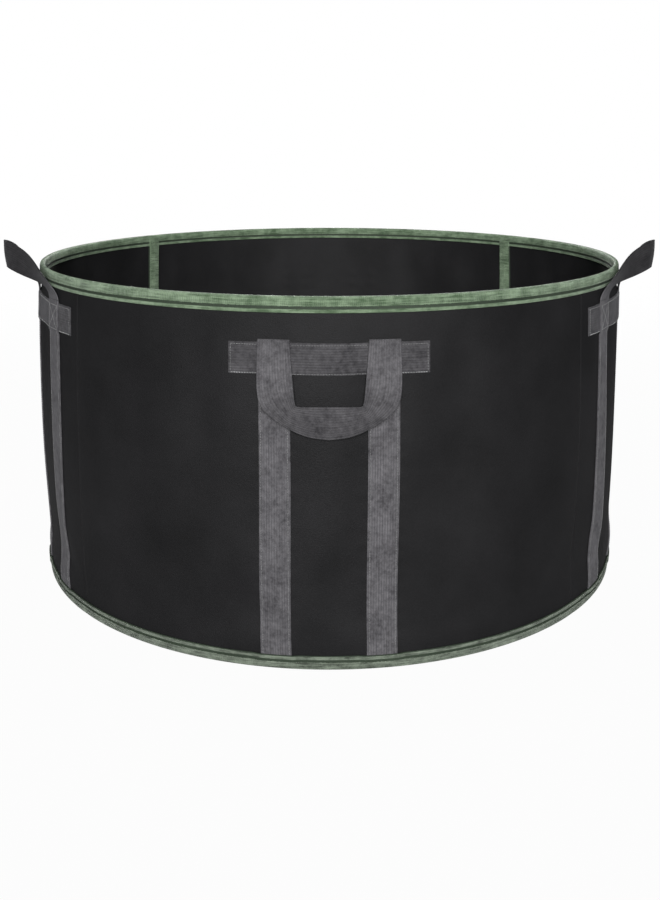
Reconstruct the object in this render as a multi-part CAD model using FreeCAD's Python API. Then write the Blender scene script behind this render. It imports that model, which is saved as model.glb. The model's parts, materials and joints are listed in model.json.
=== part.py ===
import FreeCAD, Part
import math
import os

# A round fabric grow bag: felt base and wall panels, bound and overlocked edges, and six
# webbing handles. Millimetres. The origin is the centre of the base underside, +Z is up and
# the front handle faces -Y. A bearing is an angle about +Z from the front, positive to +X.

# Bag
WALL_RADIUS = 482.5
HEIGHT = 508.0
FELT = 3.0
GAP = 0.05
SEAM_BEARING = 131.5
SEAM_BINDING_WIDTH = 26.0
SEAM_THREAD_TOP = HEIGHT - 3.0

# Edge bindings and the thread that covers them
BINDING = 2.0
RIM_BINDING_DEPTH = 22.0
BASE_BINDING_DEPTH = 20.0
OVERLOCK = 0.6
RIM_OVERLOCK_DEPTH = 13.0
BASE_OVERLOCK_DEPTH = 11.0
TOPSTITCH = 0.4
TOPSTITCH_WIDTH = 5.0
TOPSTITCH_INSET = 0.6

# Handles
WEBBING = 1.8
WEBBING_WIDTH = 42.0
STRAP_OFFSET = 71.0
STRAP_TUCK = 8.0
BAND_HALF_LENGTH = 131.5
BAND_TOP = 448.0
FOLD_HEIGHT = 452.0
KNUCKLE_RADIUS = WEBBING / 2 + 0.1
FOLD_CLEARANCE = 2.2
STITCH = 0.3
STITCH_WIDTH = 0.8
STITCH_INSET = 3.0

# Loops that hang: where they hinge, how far they drop, where the crosspiece starts and how
# far it stands out
HANGING_HINGE_RADIUS = WALL_RADIUS + 2.5
LOOP_DROP = 131.0
LOOP_WINDOW_DROP = 85.0
LOOP_WINDOW_TAPER = 8.0
LOOP_CORNER = 6.0
LOOP_STAND_OFF = 15.0
SHEET_HALF_SPAN = 120.0

# Loops that stand up and out: where they hinge, and the poles of the curve that one half of
# the centre line follows from the fold to the middle of the crosspiece. The twist is how much
# sooner than the middle the webbing has turned upright
RAISED_HINGE_RADIUS = WALL_RADIUS + 1.0
RAISED_REACH = 52.5
RAISED_RISE = 64.0
RAISED_OUT = (0.0, 0.6, RAISED_REACH, RAISED_REACH)
RAISED_ALONG = (STRAP_OFFSET, STRAP_OFFSET, 0.36 * STRAP_OFFSET, 0.0)
RAISED_UP = (0.0, 42.0, RAISED_RISE, RAISED_RISE)
RAISED_LEAN = 0.07
RAISED_TWIST = 1.24
RAISED_STATIONS = 16

# Bearing, height above the front handle, and pose of the loop
SIDE_LIFT = 16.0
HANDLES = {
    "front": (0.0, 0.0, "hanging"),
    "front_right": (66.5, SIDE_LIFT, "raised"),
    "rear_right": (113.5, SIDE_LIFT, "hanging"),
    "rear": (180.0, 0.0, "hanging"),
    "rear_left": (-113.5, SIDE_LIFT, "hanging"),
    "front_left": (-66.5, SIDE_LIFT, "raised"),
}

# Radii of the faces that pieces lie on
INSIDE_WALL = WALL_RADIUS - FELT - GAP
BINDING_INNER = WALL_RADIUS + GAP
BINDING_OUTER = BINDING_INNER + BINDING
WEBBING_OUTER = WALL_RADIUS + GAP + WEBBING
CROSSING_OUTER = WEBBING_OUTER + GAP + WEBBING
BUMP_OUTER = WEBBING_OUTER + GAP + BINDING

# Heights
RIM_BINDING_TOP = HEIGHT - OVERLOCK - GAP
RIM_BINDING_FOOT = HEIGHT - RIM_BINDING_DEPTH
WALL_TOP = RIM_BINDING_TOP - BINDING - GAP
WALL_FOOT = FELT + GAP
BAND_FOOT = BAND_TOP - WEBBING_WIDTH
STRAP_FOOT = BASE_BINDING_DEPTH - STRAP_TUCK
STRAP_TOP = FOLD_HEIGHT - FOLD_CLEARANCE


def degrees_for(length, radius=WALL_RADIUS):
    """Angle that an arc of this length covers."""
    return math.degrees(length / radius)


def turned(shape, bearing):
    """The shape turned about the bag's axis from the front to a bearing."""
    copy = shape.copy()
    copy.rotate(FreeCAD.Vector(0, 0, 0), FreeCAD.Vector(0, 0, 1), bearing)
    return copy


def revolved(profile, start=0.0, sweep=360.0):
    """A closed (radius, height) outline swept about the bag's axis from a bearing."""
    corners = [FreeCAD.Vector(0, -radius, height) for radius, height in profile]
    face = Part.Face(Part.makePolygon(corners + corners[:1]))
    solid = face.revolve(FreeCAD.Vector(0, 0, 0), FreeCAD.Vector(0, 0, 1), sweep)
    return turned(solid, start)


def strip(inner, outer, low, high, centre=0.0, half_angle=180.0):
    """A strip that lies around the bag between two radii and two heights."""
    profile = [(inner, low), (outer, low), (outer, high), (inner, high)]
    return revolved(profile, centre - half_angle, 2 * half_angle)


def strap_bearings():
    """Bearings of the centres of all wall straps."""
    side = degrees_for(STRAP_OFFSET)
    return [handle[0] + sign * side for handle in HANDLES.values() for sign in (-1, 1)]


# Body of the bag

def base_disc():
    return Part.makeCylinder(WALL_RADIUS, FELT)


def wall_panel(start, end):
    """Felt between two seams, with a hair of clearance at each."""
    slack = degrees_for(GAP)
    half = (end - start) / 2 - slack
    return strip(WALL_RADIUS - FELT, WALL_RADIUS, WALL_FOOT, WALL_TOP, (start + end) / 2, half)


def seam_binding(bearing):
    """Felt strip that covers a wall seam on the inside."""
    half = degrees_for(SEAM_BINDING_WIDTH / 2)
    return strip(INSIDE_WALL - FELT, INSIDE_WALL, WALL_FOOT, RIM_BINDING_FOOT - GAP, bearing, half)


def seam_overlock(bearing):
    """Thread on the inner face of a seam binding, wrapped round its edges, then on over the rim."""
    face = INSIDE_WALL - FELT - GAP
    half = degrees_for(SEAM_BINDING_WIDTH / 2)
    edge = degrees_for(OVERLOCK + GAP)
    foot = WALL_FOOT + GAP
    top = RIM_BINDING_FOOT - GAP
    cover = strip(face - OVERLOCK, INSIDE_WALL, foot, top, bearing, half + edge)
    core = strip(face, INSIDE_WALL + GAP, foot - GAP, top + GAP, bearing, half + degrees_for(GAP))
    over_rim = strip(face - OVERLOCK, face, top - GAP, SEAM_THREAD_TOP, bearing, half + edge)
    return cover.cut(core).fuse(over_rim).removeSplitter()


def rim_binding():
    """Folded strip over the top edge of the wall."""
    inner = INSIDE_WALL - BINDING
    return revolved([
        (BINDING_INNER, RIM_BINDING_FOOT), (BINDING_OUTER, RIM_BINDING_FOOT),
        (BINDING_OUTER, RIM_BINDING_TOP), (inner, RIM_BINDING_TOP),
        (inner, RIM_BINDING_FOOT), (INSIDE_WALL, RIM_BINDING_FOOT),
        (INSIDE_WALL, WALL_TOP + GAP), (BINDING_INNER, WALL_TOP + GAP),
    ])


def rim_overlock():
    """Thread wrapped over the top of the rim binding."""
    outer = BINDING_OUTER + GAP
    inner = INSIDE_WALL - BINDING - GAP
    foot = HEIGHT - RIM_OVERLOCK_DEPTH
    return revolved([
        (outer, foot), (outer + OVERLOCK, foot), (outer + OVERLOCK, HEIGHT),
        (inner - OVERLOCK, HEIGHT), (inner - OVERLOCK, foot), (inner, foot),
        (inner, HEIGHT - OVERLOCK), (outer, HEIGHT - OVERLOCK),
    ])


def rim_topstitch():
    """Two lines of thread, outside and inside, that close the foot of the rim binding."""
    low = RIM_BINDING_FOOT + TOPSTITCH_INSET
    high = low + TOPSTITCH_WIDTH
    outside = strip(BINDING_OUTER + GAP, BINDING_OUTER + GAP + TOPSTITCH, low, high)
    inner = INSIDE_WALL - BINDING - GAP
    return Part.makeCompound([outside, strip(inner - TOPSTITCH, inner, low, high)])


def base_binding():
    """Strip around the foot of the wall, raised over the strap ends tucked behind it."""
    foot = OVERLOCK + GAP
    shape = strip(BINDING_INNER, BINDING_OUTER, foot, BASE_BINDING_DEPTH)
    bump_half = degrees_for(WEBBING_WIDTH / 2 + BINDING)
    pocket_half = degrees_for(WEBBING_WIDTH / 2 + GAP)
    for bearing in strap_bearings():
        bump = strip(BINDING_INNER, BUMP_OUTER, STRAP_FOOT - GAP, BASE_BINDING_DEPTH, bearing, bump_half)
        shape = shape.fuse(bump)
        pocket = strip(BINDING_INNER - GAP, WEBBING_OUTER + GAP, STRAP_FOOT - GAP / 2,
                       BASE_BINDING_DEPTH + GAP, bearing, pocket_half)
        shape = shape.cut(pocket)
    return shape


def base_overlock():
    """Thread wrapped round the bottom outer edge of the base binding."""
    outer = BINDING_OUTER + GAP
    return revolved([
        (BINDING_INNER, 0), (outer + OVERLOCK, 0), (outer + OVERLOCK, BASE_OVERLOCK_DEPTH),
        (outer, BASE_OVERLOCK_DEPTH), (outer, OVERLOCK), (BINDING_INNER, OVERLOCK),
    ])


def base_topstitch():
    """Thread near the top edge of the base binding, stepping out over each strap end."""
    high = BASE_BINDING_DEPTH - TOPSTITCH_INSET
    low = high - TOPSTITCH_WIDTH
    bump_half = degrees_for(WEBBING_WIDTH / 2 + BINDING)
    bearings = sorted(bearing % 360 for bearing in strap_bearings())
    pieces = []
    for here, after in zip(bearings, bearings[1:] + [bearings[0] + 360]):
        pieces.append(strip(BUMP_OUTER + GAP, BUMP_OUTER + GAP + TOPSTITCH, low, high, here, bump_half))
        half = (after - here) / 2 - bump_half - degrees_for(GAP)
        pieces.append(strip(BINDING_OUTER + GAP, BINDING_OUTER + GAP + TOPSTITCH, low, high,
                            (here + after) / 2, half))
    return Part.makeCompound(pieces)


# Handles, built at the front

def band(lift):
    """Horizontal webbing that spreads the handle's load over the wall."""
    half = degrees_for(BAND_HALF_LENGTH)
    return strip(BINDING_INNER, WEBBING_OUTER, BAND_FOOT + lift, BAND_TOP + lift, 0.0, half)


def strap(side, lift):
    """Wall strap from the base seam up over the band to the fold."""
    half = degrees_for(WEBBING_WIDTH / 2)
    centre = side * degrees_for(STRAP_OFFSET)
    step = BAND_FOOT + lift - GAP
    top = STRAP_TOP + lift
    return revolved([
        (BINDING_INNER, STRAP_FOOT), (WEBBING_OUTER, STRAP_FOOT), (WEBBING_OUTER, step - WEBBING),
        (CROSSING_OUTER, step), (CROSSING_OUTER, top), (WEBBING_OUTER + GAP, top),
        (WEBBING_OUTER + GAP, step), (BINDING_INNER, step),
    ], centre - half, 2 * half)


def thread_line(radius, centre, low, high):
    """Upright line of stitches on a face of this radius."""
    return strip(radius + GAP, radius + GAP + STITCH, low, high, centre, degrees_for(STITCH_WIDTH / 2))


def thread_row(radius, height, start, end):
    """Level line of stitches on a face of this radius, between two bearings."""
    return strip(radius + GAP, radius + GAP + STITCH, height - STITCH_WIDTH / 2,
                 height + STITCH_WIDTH / 2, (start + end) / 2, (end - start) / 2)


def stitching(lift):
    """Lines along the strap edges, a sewn box where each strap crosses the band, and band rows."""
    band_foot = BAND_FOOT + lift
    edge = degrees_for(WEBBING_WIDTH / 2 - STITCH_INSET)
    strap_centre = degrees_for(STRAP_OFFSET)
    band_rows = (band_foot + STITCH_INSET, BAND_TOP + lift - STITCH_INSET)
    strap_edge = degrees_for(WEBBING_WIDTH / 2 + 1)
    band_end = degrees_for(BAND_HALF_LENGTH - STITCH_INSET)
    pieces = []
    for side in (-1, 1):
        centre = side * strap_centre
        for line in (centre - edge, centre + edge):
            pieces.append(thread_line(WEBBING_OUTER, line, BASE_BINDING_DEPTH + 1, band_foot - 2 * WEBBING))
            pieces.append(thread_line(CROSSING_OUTER, line, band_rows[0], band_rows[1]))
        pieces.append(thread_line(WEBBING_OUTER, side * band_end, band_rows[0] + 1, band_rows[1] - 1))
        inset = degrees_for(STITCH_WIDTH)
        for height in band_rows:
            pieces.append(thread_row(CROSSING_OUTER, height, centre - edge + inset, centre + edge - inset))
            ends = sorted((side * band_end, centre + side * strap_edge))
            pieces.append(thread_row(WEBBING_OUTER, height, ends[0], ends[1]))
    for height in band_rows:
        pieces.append(thread_row(WEBBING_OUTER, height, strap_edge - strap_centre, strap_centre - strap_edge))
    return Part.makeCompound(pieces)


def at_hinge(out, along, up):
    """Point given from the middle of the hinge line: outwards, along the line and up."""
    return FreeCAD.Vector(along, -out, up)


def with_knuckles(shape):
    """A loop with the two rounded folds of webbing that it turns on."""
    start = STRAP_OFFSET - WEBBING_WIDTH / 2
    along = FreeCAD.Vector(1, 0, 0)
    for begin in (start, -start - WEBBING_WIDTH):
        shape = shape.fuse(Part.makeCylinder(KNUCKLE_RADIUS, WEBBING_WIDTH, at_hinge(0, begin, 0), along))
    return shape.removeSplitter()


def spline(points):
    curve = Part.BSplineCurve()
    curve.interpolate(points)
    return curve.toShape()


def hanging_sheet():
    """Sheet of webbing thickness that leans out from the fold line and turns back at its foot."""
    stations = 9
    bend = 0.62 * math.pi
    faces = {1: [], -1: []}
    for step in range(stations):
        part = step / (stations - 1)
        out = LOOP_STAND_OFF * math.sin(bend * part)
        slope = LOOP_STAND_OFF * bend * math.cos(bend * part) / LOOP_DROP
        length = math.hypot(1, slope)
        for side, points in faces.items():
            shift = side * WEBBING / 2
            up = -LOOP_DROP * part + shift * slope / length
            points.append(at_hinge(out + shift / length, -SHEET_HALF_SPAN, up))
    outer = faces[1]
    inner = faces[-1]
    wire = Part.Wire([spline(outer), Part.makeLine(outer[-1], inner[-1]), spline(inner[::-1]),
                      Part.makeLine(inner[0], outer[0])])
    return Part.Face(wire).extrude(FreeCAD.Vector(2 * SHEET_HALF_SPAN, 0, 0))


def loop_outline():
    """Front view of a hanging loop: two legs and a crosspiece that is round below."""
    leg_outer = STRAP_OFFSET + WEBBING_WIDTH / 2
    leg_inner = STRAP_OFFSET - WEBBING_WIDTH / 2
    foot_inner = leg_inner - LOOP_WINDOW_TAPER
    window = -LOOP_WINDOW_DROP
    head = KNUCKLE_RADIUS

    def front(along, up):
        return at_hinge(-LOOP_STAND_OFF, along, up)

    half_belly = [(leg_outer, -62), (leg_outer - 3, -92), (leg_outer - 14, -108), (leg_outer - 41, -115)]
    belly = half_belly + [(0, -LOOP_DROP)] + [(-along, up) for along, up in reversed(half_belly)]
    inside = [(leg_inner, head), (foot_inner, window + LOOP_CORNER), (foot_inner - LOOP_CORNER, window)]
    inside += [(-along, up) for along, up in reversed(inside)]
    edges = [Part.makeLine(front(leg_outer, head), front(*belly[0]))]
    edges.append(spline([front(*point) for point in belly]))
    edges.append(Part.makeLine(front(*belly[-1]), front(-leg_outer, head)))
    corners = [(-leg_outer, head)] + inside[::-1] + [(leg_outer, head)]
    for here, after in zip(corners, corners[1:]):
        edges.append(Part.makeLine(front(*here), front(*after)))
    return Part.Face(Part.Wire(edges))


def hanging_loop():
    prism = loop_outline().extrude(FreeCAD.Vector(0, -3 * LOOP_STAND_OFF, 0))
    return with_knuckles(hanging_sheet().common(prism))


def raised_path(part):
    """Centre line of a raised loop, from one fold at 0 through the crosspiece at 1 to 2."""
    side = 1 if part <= 1 else -1
    t = part if part <= 1 else 2 - part
    blend = ((1 - t) ** 3, 3 * t * (1 - t) ** 2, 3 * t * t * (1 - t), t ** 3)
    poles = (RAISED_OUT, RAISED_ALONG, RAISED_UP)
    place = [sum(weight * pole for weight, pole in zip(blend, row)) for row in poles]
    return at_hinge(place[0], side * place[1], place[2])


def raised_width_direction(part):
    """Webbing width: along the fold at the wall, near upright at the crosspiece."""
    side = 1 if part <= 1 else -1
    t = min(1, RAISED_TWIST * (part if part <= 1 else 2 - part))
    ease = t * t * (3 - 2 * t)
    return FreeCAD.Vector(side * (1 - ease), RAISED_LEAN * ease, ease)


def raised_section(part):
    """Webbing cross-section square to the centre line."""
    step = 0.01
    ahead = raised_path(min(part + step, 2))
    behind = raised_path(max(part - step, 0))
    tangent = (ahead - behind).normalize()
    width = raised_width_direction(part)
    width = (width - tangent * width.dot(tangent)).normalize() * (WEBBING_WIDTH / 2)
    depth = tangent.cross(width).normalize() * (WEBBING / 2)
    centre = raised_path(part)
    corners = [centre + width + depth, centre - width + depth, centre - width - depth, centre + width - depth]
    return Part.makePolygon(corners + corners[:1])


def raised_loop():
    sections = [raised_section(2 * step / RAISED_STATIONS) for step in range(RAISED_STATIONS + 1)]
    return with_knuckles(Part.makeLoft(sections, True, False))


def all_nodes():
    """Every node of the bag by name."""
    front = 180 - SEAM_BEARING
    seams = {"front_right": front, "rear_right": SEAM_BEARING,
             "rear_left": -SEAM_BEARING, "front_left": -front}
    nodes = {
        "base_disc": base_disc(),
        "base_binding": base_binding(),
        "base_overlock_thread": base_overlock(),
        "base_topstitch_thread": base_topstitch(),
        "rim_binding": rim_binding(),
        "rim_overlock_thread": rim_overlock(),
        "rim_topstitch_thread": rim_topstitch(),
        "wall_panel_front": wall_panel(-front, front),
        "wall_panel_right": wall_panel(front, SEAM_BEARING),
        "wall_panel_rear": wall_panel(SEAM_BEARING, 360 - SEAM_BEARING),
        "wall_panel_left": wall_panel(-SEAM_BEARING, -front),
    }
    for name, bearing in seams.items():
        nodes["seam_binding_" + name] = seam_binding(bearing)
        nodes["seam_overlock_" + name] = seam_overlock(bearing)
    loops = {
        "hanging": (hanging_loop(), HANGING_HINGE_RADIUS),
        "raised": (raised_loop(), RAISED_HINGE_RADIUS),
    }
    for name, (bearing, lift, pose) in HANDLES.items():
        nodes[name + "_band"] = turned(band(lift), bearing)
        nodes[name + "_strap_left"] = turned(strap(-1, lift), bearing)
        nodes[name + "_strap_right"] = turned(strap(1, lift), bearing)
        nodes[name + "_stitching"] = turned(stitching(lift), bearing)
        loop, hinge_radius = loops[pose]
        placed = loop.translated(FreeCAD.Vector(0, -hinge_radius, FOLD_HEIGHT + lift))
        nodes[name + "_loop"] = turned(placed, bearing)
    return nodes


os.makedirs("parts", exist_ok=True)
for node_name, node_shape in all_nodes().items():
    node_shape.exportStep("parts/" + node_name + ".step")
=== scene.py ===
"""Looks of a round felt grow bag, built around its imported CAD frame.

Everything is in metres, in the CAD frame: +Z is up and the ground is z = 0. A bearing is an angle
round the bag, 0 at the front (-Y) and growing towards +X. "out" is a distance outwards from the
outer face of the wall felt. Every piece on the wall is placed by on_wall(), so that it follows the
same sagging surface.
"""

import json
import math

import bpy
import numpy as np
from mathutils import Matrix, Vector


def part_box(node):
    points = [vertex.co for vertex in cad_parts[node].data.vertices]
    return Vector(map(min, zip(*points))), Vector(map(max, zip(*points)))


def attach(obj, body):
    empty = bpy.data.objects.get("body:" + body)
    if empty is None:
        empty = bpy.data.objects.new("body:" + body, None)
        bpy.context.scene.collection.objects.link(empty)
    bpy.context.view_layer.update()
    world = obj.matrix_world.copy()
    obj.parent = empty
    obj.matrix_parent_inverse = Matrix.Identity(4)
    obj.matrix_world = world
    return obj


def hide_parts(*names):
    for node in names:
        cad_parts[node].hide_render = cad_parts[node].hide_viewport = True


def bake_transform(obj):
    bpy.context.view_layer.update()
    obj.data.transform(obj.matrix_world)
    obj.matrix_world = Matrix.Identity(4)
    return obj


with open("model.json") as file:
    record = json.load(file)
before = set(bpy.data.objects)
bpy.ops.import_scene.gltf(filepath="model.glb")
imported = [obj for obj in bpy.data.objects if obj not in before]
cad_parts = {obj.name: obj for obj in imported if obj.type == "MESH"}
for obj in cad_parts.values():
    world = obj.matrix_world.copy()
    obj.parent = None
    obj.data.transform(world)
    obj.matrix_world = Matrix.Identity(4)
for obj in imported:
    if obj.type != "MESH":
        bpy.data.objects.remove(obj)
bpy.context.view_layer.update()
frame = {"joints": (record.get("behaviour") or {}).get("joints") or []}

MM = 0.001
TAU = 2 * math.pi
UP = np.array([0.0, 0.0, 1.0])


# ------ sizes from the frame

def span(node, axis=2):
    """Lowest and highest coordinate of a node along an axis."""
    low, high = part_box(node)
    return low[axis], high[axis]


HEIGHT = span("rim_overlock_thread")[1]
WALL_RADIUS = -span("wall_panel_front", 1)[0]
WALL_FOOT, WALL_TOP = span("wall_panel_front")
FELT = np.ptp(span("base_disc"))
RIM_BINDING_LOW = span("rim_binding")[0]
RIM_OVERLOCK_LOW = span("rim_overlock_thread")[0]
RIM_STITCH = span("rim_topstitch_thread")
BASE_BINDING_LOW, BASE_BINDING_HIGH = span("base_binding")
BASE_OVERLOCK_HIGH = span("base_overlock_thread")[1]
BASE_STITCH = span("base_topstitch_thread")
SEAM_HIGH = span("seam_binding_front_left")[1]
WEBBING_WIDTH = np.ptp(span("front_band"))
BAND_HALF = WALL_RADIUS * math.asin(span("front_band", 0)[1] / WALL_RADIUS)
STRAP_ALONG = WALL_RADIUS * math.asin(sum(span("front_strap_right", 0)) / 2 / WALL_RADIUS)
STRAP_FOOT = span("front_strap_left")[0]

# thicknesses, and the half width and crown of a seam allowance
BINDING = 2.0 * MM
WEBBING = 1.8 * MM
OVERLOCK = 0.6 * MM
SEAM_HALF = 13 * MM
SEAM_THICKNESS = 2.9 * MM
SEAM_CROWN = 0.5 * MM

# the wall is a little fuller at mid-height than at the rim
RIM_SCALE = 0.9942
MIDDLE_SCALE = 1.0048


def seam_bearing(name):
    """Bearing of a wall seam, from the middle of its binding's box."""
    node = f"seam_binding_{name}"
    return math.atan2(sum(span(node, 0)), -sum(span(node, 1)))


SEAM_BEARINGS = {name: seam_bearing(name)
                 for name in ("front_right", "rear_right", "rear_left", "front_left")}
PANELS = {
    "front": (SEAM_BEARINGS["front_left"], SEAM_BEARINGS["front_right"]),
    "right": (SEAM_BEARINGS["front_right"], SEAM_BEARINGS["rear_right"]),
    "rear": (SEAM_BEARINGS["rear_right"], SEAM_BEARINGS["rear_left"] + TAU),
    "left": (SEAM_BEARINGS["rear_left"], SEAM_BEARINGS["front_left"]),
}


def read_handles():
    """Name, bearing, hinge radius, fold height and rest pose of each handle, from its joint."""
    handles = []
    for joint in frame["joints"]:
        x, y, z = joint["pos_m"]
        handles.append({
            "name": joint["name"].removesuffix("_loop_swing"),
            "bearing": math.atan2(x, -y),
            "hinge": math.hypot(x, y),
            "fold": z,
            "raised": joint["range_deg"][0] < 0,
        })
    return handles


HANDLES = read_handles()


# ------ the sagging wall

SAG_COLUMNS = 180
SAG_ROWS = 31
SAG_LIMIT = 3.5 * MM
SAG_FRAMES = 24
HELD_ROWS = 2
FADE_REACH = 20 * MM
BASE_FADE = 170 * MM
RIM_FADE = 140 * MM

# the cloth is 0.7 percent too large for the space between rim and base, so it buckles softly
FELT_CLOTH = {"quality": 6, "mass": 0.4, "tension_stiffness": 30, "compression_stiffness": 30,
              "shear_stiffness": 15, "bending_stiffness": 6, "shrink_min": -0.007}


def smooth(x):
    x = np.clip(x, 0, 1)
    return x * x * (3 - 2 * x)


def plain_radius(z):
    """Radius of the wall's outer face before it sags: a parabola through base, middle and rim."""
    share = z / HEIGHT
    bend = 2 * (1 + RIM_SCALE - 2 * MIDDLE_SCALE)
    return WALL_RADIUS * (1 + (RIM_SCALE - 1 - bend) * share + bend * share ** 2)


def bearing_gap(bearing, centre):
    """Signed angle from centre to bearing, in -pi to pi."""
    return (bearing - centre + math.pi) % TAU - math.pi


# waves round the wall: how many, depth in mm, phase, and how far they lean up to the rim
WAVES = ((5, 1.3, 0.7, 1.5), (9, 0.9, 2.1, -3.0), (16, 0.6, 4.4, 5.0))


def soft_waves(bearing, z):
    """Broad shallow hollows of a hand-sewn felt wall."""
    share = z / HEIGHT
    middle = np.sin(math.pi * np.clip(share, 0, 1))
    waves = sum(depth * np.sin(count * bearing + phase + lean * share)
                for count, depth, phase, lean in WAVES)
    return waves * MM * middle


def sag_grid():
    """Bearing and height of each point of the sag field."""
    bearing = np.arange(SAG_COLUMNS) * TAU / SAG_COLUMNS
    return np.meshgrid(bearing, np.linspace(0, HEIGHT, SAG_ROWS), indexing="ij")


def felt_tube(b, h):
    """The whole felt wall as one thin mesh, with its rows at the base and the rim held."""
    radius = plain_radius(h) + soft_waves(b, h)
    points = np.stack([radius * np.sin(b), -radius * np.cos(b), h], axis=-1)
    ids = np.arange(SAG_COLUMNS * SAG_ROWS).reshape(SAG_COLUMNS, SAG_ROWS)
    after = np.roll(ids, -1, axis=0)
    quads = np.stack([ids[:, :-1], after[:, :-1], after[:, 1:], ids[:, 1:]], axis=-1)
    mesh = bpy.data.meshes.new("sagging_felt")
    mesh.from_pydata(points.reshape(-1, 3).tolist(), [], quads.reshape(-1, 4).tolist())
    felt = bpy.data.objects.new("sagging_felt", mesh)
    bpy.context.scene.collection.objects.link(felt)
    held = felt.vertex_groups.new(name="held")
    base, rim = ids[:, :HELD_ROWS].ravel().tolist(), ids[:, -HELD_ROWS:].ravel().tolist()
    held.add(base + rim, 1.0, "REPLACE")
    return felt


def simulated_sag():
    """Radial sag of the wall, from a cloth simulation of the felt held at its rim and its base."""
    b, h = sag_grid()
    felt = felt_tube(b, h)
    mesh = felt.data
    cloth = felt.modifiers.new("Cloth", "CLOTH")
    cloth.settings.vertex_group_mass = "held"
    for name, value in FELT_CLOTH.items():
        setattr(cloth.settings, name, value)
    cloth.point_cache.frame_start = 1
    cloth.point_cache.frame_end = SAG_FRAMES
    scene = bpy.context.scene
    for number in range(1, SAG_FRAMES + 1):
        scene.frame_set(number)
    shaped = felt.evaluated_get(bpy.context.evaluated_depsgraph_get()).to_mesh()
    moved = np.zeros(len(shaped.vertices) * 3)
    shaped.vertices.foreach_get("co", moved)
    moved = moved.reshape(SAG_COLUMNS, SAG_ROWS, 3)
    sag = np.hypot(moved[..., 0], moved[..., 1]) - plain_radius(h)
    near_base = smooth((h + FADE_REACH) / BASE_FADE)
    near_rim = smooth((HEIGHT + FADE_REACH - h) / RIM_FADE)
    scene.frame_set(1)
    bpy.data.objects.remove(felt)
    bpy.data.meshes.remove(mesh)
    return SAG_LIMIT * np.tanh(sag * near_base * near_rim / SAG_LIMIT)


SAG = simulated_sag()


def spline_weights(f):
    return ((1 - f) ** 3 / 6, (3 * f ** 3 - 6 * f ** 2 + 4) / 6,
            (-3 * f ** 3 + 3 * f ** 2 + 3 * f + 1) / 6, f ** 3 / 6)


def sag(bearing, z):
    """The sag field at any point, as a smooth cubic surface over its grid."""
    column = (bearing % TAU) / TAU * SAG_COLUMNS
    row = np.clip(z / HEIGHT, 0, 1) * (SAG_ROWS - 1)
    i, j = np.floor(column).astype(int), np.floor(row).astype(int)
    across, upward = spline_weights(column - i), spline_weights(row - j)
    total = np.zeros(np.broadcast(column, row).shape)
    for a in range(4):
        for b in range(4):
            cell = SAG[(i + a - 1) % SAG_COLUMNS, np.clip(j + b - 1, 0, SAG_ROWS - 1)]
            total = total + across[a] * upward[b] * cell
    return total


VALLEY_HALF = 11 * MM
VALLEY_DEPTH = 0.3 * MM


def seam_valley(bearing):
    """How far the wall seams draw the felt in."""
    depth = 0
    for centre in SEAM_BEARINGS.values():
        depth = depth + np.exp(-(bearing_gap(bearing, centre) * WALL_RADIUS / VALLEY_HALF) ** 2)
    return -VALLEY_DEPTH * depth


def on_wall(bearing, z, out):
    """Points at a bearing and height, a distance out from the sagging outer face of the wall."""
    bearing, z, out = np.broadcast_arrays(bearing, z, out)
    radius = plain_radius(z) + sag(bearing, z) + seam_valley(bearing) + out
    return np.stack([radius * np.sin(bearing), -radius * np.cos(bearing), z], axis=-1)


def radial(bearing):
    bearing = np.asarray(bearing, float)
    return np.stack([np.sin(bearing), -np.cos(bearing), np.zeros_like(bearing)], axis=-1)


# ------ mesh builders

def unit(vectors):
    return vectors / np.maximum(np.linalg.norm(vectors, axis=-1, keepdims=True), 1e-12)


def spaced(start, stop, step, edge):
    """Samples from start to stop, closer together at both ends, so that an edge can be rounded."""
    count = max(2, round((stop - start - 2 * edge) / step) + 1)
    inner = np.linspace(start + edge, stop - edge, count)
    corner = edge * np.array([0, 0.13, 0.5])
    return np.concatenate([start + corner, inner, (stop - corner)[::-1]])


def roundness(values, edge, first=True, last=True):
    """Share of the full thickness at each sample: a quarter ellipse at each rounded end."""
    gap = np.full(len(values), np.inf)
    if first:
        gap = np.minimum(gap, values - values[0])
    if last:
        gap = np.minimum(gap, values[-1] - values)
    gap = np.clip(gap / edge, 0, 1)
    return np.maximum(np.sqrt(1 - (1 - gap) ** 2), 0.14)


def travel(points, axis, closed):
    """Direction of travel along one axis of a grid of points, which may close on itself."""
    if closed:
        return np.roll(points, -1, axis=axis) - np.roll(points, 1, axis=axis)
    return np.gradient(points, axis=axis)


def sheet(grid, thickness, closed=False):
    """A sheet about a grid of middle points (length, width, 3), as a part: (sections, closed)."""
    normals = unit(np.cross(travel(grid, 0, closed), np.gradient(grid, axis=1)))
    step = normals * (np.broadcast_to(thickness, grid.shape[:2])[..., None] / 2)
    return np.concatenate([grid + step, (grid - step)[:, ::-1]], axis=1)[None], closed


CORNERS = ((1, 1), (-1, 1), (-1, -1), (1, -1))


def threads(paths, normals, half_width, half_height, closed=False):
    """A part of flat yarns along paths (count, points, 3), on a surface with these normals."""
    tangent = unit(travel(paths, 1, closed))
    side = unit(np.cross(tangent, normals))
    lift = np.cross(side, tangent)
    wide = side * np.broadcast_to(half_width, paths.shape[1:2])[:, None]
    tall = lift * np.broadcast_to(half_height, paths.shape[1:2])[:, None]
    return np.stack([paths + a * wide + b * tall for a, b in CORNERS], axis=2), closed


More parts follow.
